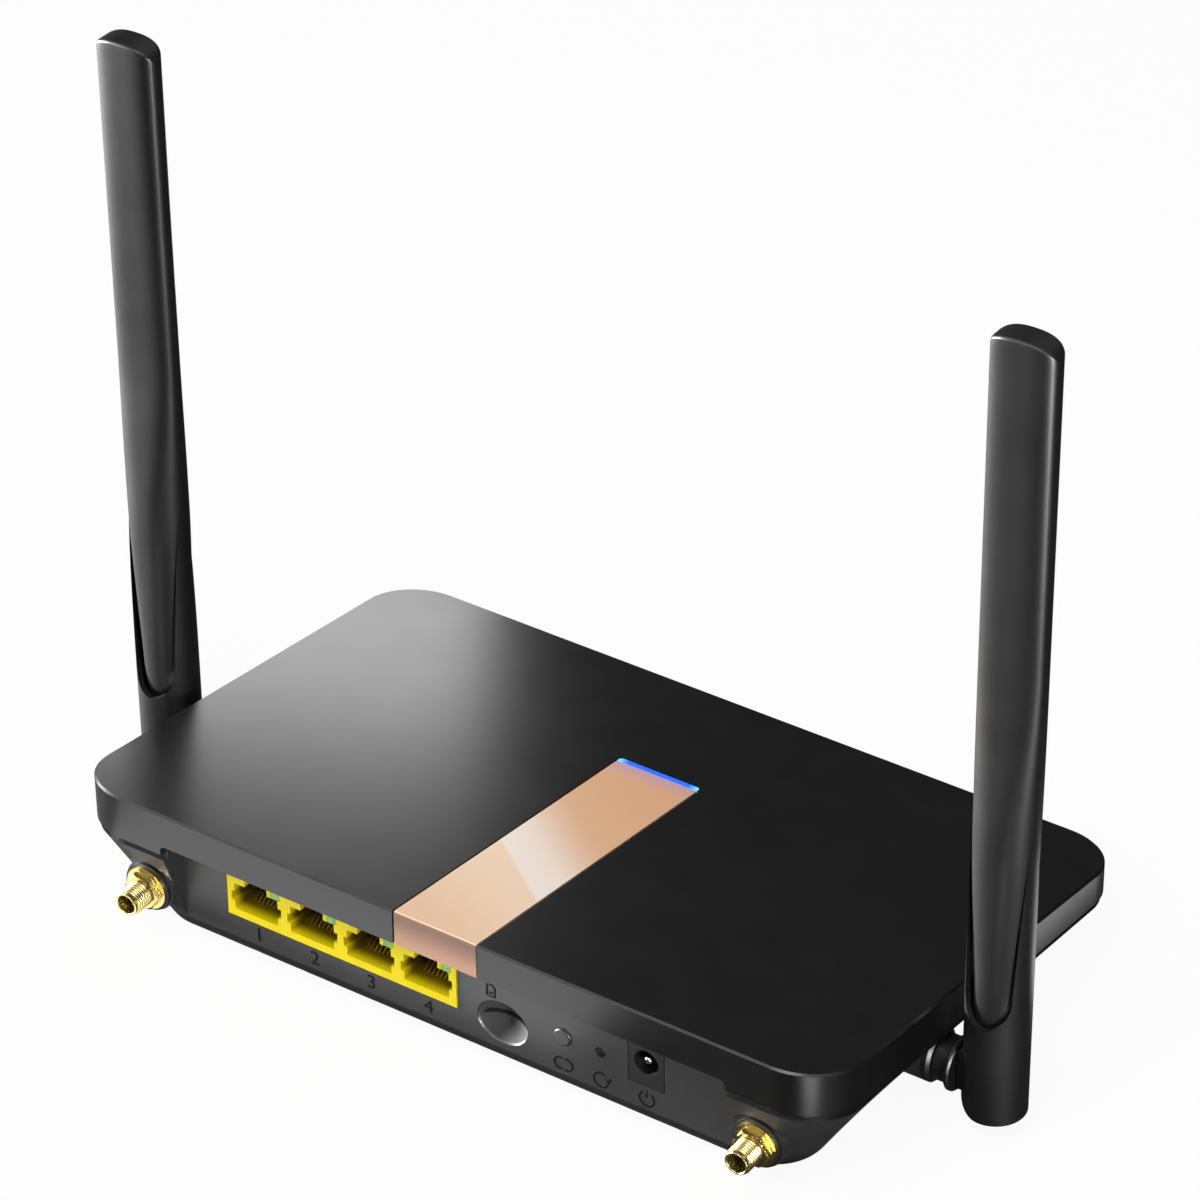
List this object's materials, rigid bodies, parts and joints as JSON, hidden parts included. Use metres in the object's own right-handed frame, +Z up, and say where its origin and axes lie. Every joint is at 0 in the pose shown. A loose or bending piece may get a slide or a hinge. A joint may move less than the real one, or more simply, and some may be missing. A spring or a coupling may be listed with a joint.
{
  "type": "wireless router",
  "caption": "Black wedge-shaped wireless router with a rose-gold strip, folding side antennas, Ethernet sockets, SIM slot and gold aerial sockets at the back",
  "frame": {"origin": "on the table, under the middle of the whole object's bounding box", "axes": "+X to the left of someone who looks at the ports, +Y out of the ports, +Z up"},
  "size_m": [0.238, 0.1334, 0.1996],
  "materials": {
    "black_plastic": "fine-textured black moulding",
    "shell_plastic": "black moulding, slightly lighter",
    "antenna_plastic": "satin black",
    "rose_metal": "metallised rose gold",
    "light": "blue diffuser",
    "clear": "clear light guide",
    "led": "lamp package",
    "rubber": "matt",
    "screw_steel": "zinc plated",
    "board": "green solder mask",
    "can_steel": "tinned",
    "sink": "anodised",
    "yellow_plastic": "bright yellow",
    "green_lens": "translucent green",
    "gold_contact": "gold plated spring wire",
    "switch_plastic": "black",
    "grey_plastic": "dark grey",
    "jack_plastic": "black",
    "silver_pin": "nickel plated",
    "gold": "gold plated brass",
    "ptfe": "white insulator",
    "radiator": "copper strip"
  },
  "bodies": {
    "case": {"top_cover": "black_plastic", "bottom_shell": "shell_plastic", "accent_strip": "rose_metal", "light_bar": "light", "light_guide": "clear", "status_leds": "led", "rubber_feet": "rubber", "case_screws": "screw_steel", "main_board": "board", "shield_cans": "can_steel", "heat_sink": "sink", "lte_module": "can_steel", "port_block": "yellow_plastic", "port_lamps": "green_lens", "port_contacts": "gold_contact", "sim_socket": "jack_plastic", "wps_switch": "switch_plastic", "reset_switch": "switch_plastic", "dc_jack": "jack_plastic", "dc_jack_pin": "silver_pin", "hinge_bush_left": "shell_plastic", "hinge_bush_right": "shell_plastic", "sma_barrel_left": "gold", "sma_barrel_right": "gold", "sma_gasket_left": "rubber", "sma_gasket_right": "rubber", "sma_washer_left": "gold", "sma_washer_right": "gold", "sma_nut_left": "gold", "sma_nut_right": "gold", "sma_insulator_left": "ptfe", "sma_insulator_right": "ptfe", "sma_contact_left": "gold", "sma_contact_right": "gold"},
    "wps": {"wps_button": "shell_plastic"},
    "reset": {"reset_plunger": "grey_plastic"},
    "knuckle_left": {"hinge_base_left": "antenna_plastic", "hinge_clip_left": "grey_plastic"},
    "antenna_left": {"antenna_sleeve_left": "antenna_plastic", "antenna_blade_left": "antenna_plastic", "antenna_element_left": "radiator", "hinge_pin_left": "screw_steel"},
    "knuckle_right": {"hinge_base_right": "antenna_plastic", "hinge_clip_right": "grey_plastic"},
    "antenna_right": {"antenna_sleeve_right": "antenna_plastic", "antenna_blade_right": "antenna_plastic", "antenna_element_right": "radiator", "hinge_pin_right": "screw_steel"}
  },
  "joints": [
    {"name": "wps_press", "type": "slide", "parent": "case", "child": "wps", "axis": [0, -1, 0], "range_m": [0, 0.0006], "stiffness_N_per_m": 1500, "springref_m": -0.0004},
    {"name": "reset_press", "type": "slide", "parent": "case", "child": "reset", "axis": [0, -1, 0], "range_m": [0, 0.0006], "stiffness_N_per_m": 1500, "springref_m": -0.0004},
    {"name": "antenna_left_swivel", "type": "hinge", "parent": "case", "child": "knuckle_left", "pos_m": [0.099, 0.01045, 0.0133], "axis": [1, 0, 0], "range_deg": [-90, 90]},
    {"name": "antenna_left_tilt", "type": "hinge", "parent": "knuckle_left", "child": "antenna_left", "pos_m": [0.1112, 0.01045, 0.0133], "axis": [0, 1, 0], "range_deg": [0, 90]},
    {"name": "antenna_right_swivel", "type": "hinge", "parent": "case", "child": "knuckle_right", "pos_m": [-0.099, 0.01045, 0.0133], "axis": [1, 0, 0], "range_deg": [-90, 90]},
    {"name": "antenna_right_tilt", "type": "hinge", "parent": "knuckle_right", "child": "antenna_right", "pos_m": [-0.1112, 0.01045, 0.0133], "axis": [0, -1, 0], "range_deg": [0, 90]}
  ]
}
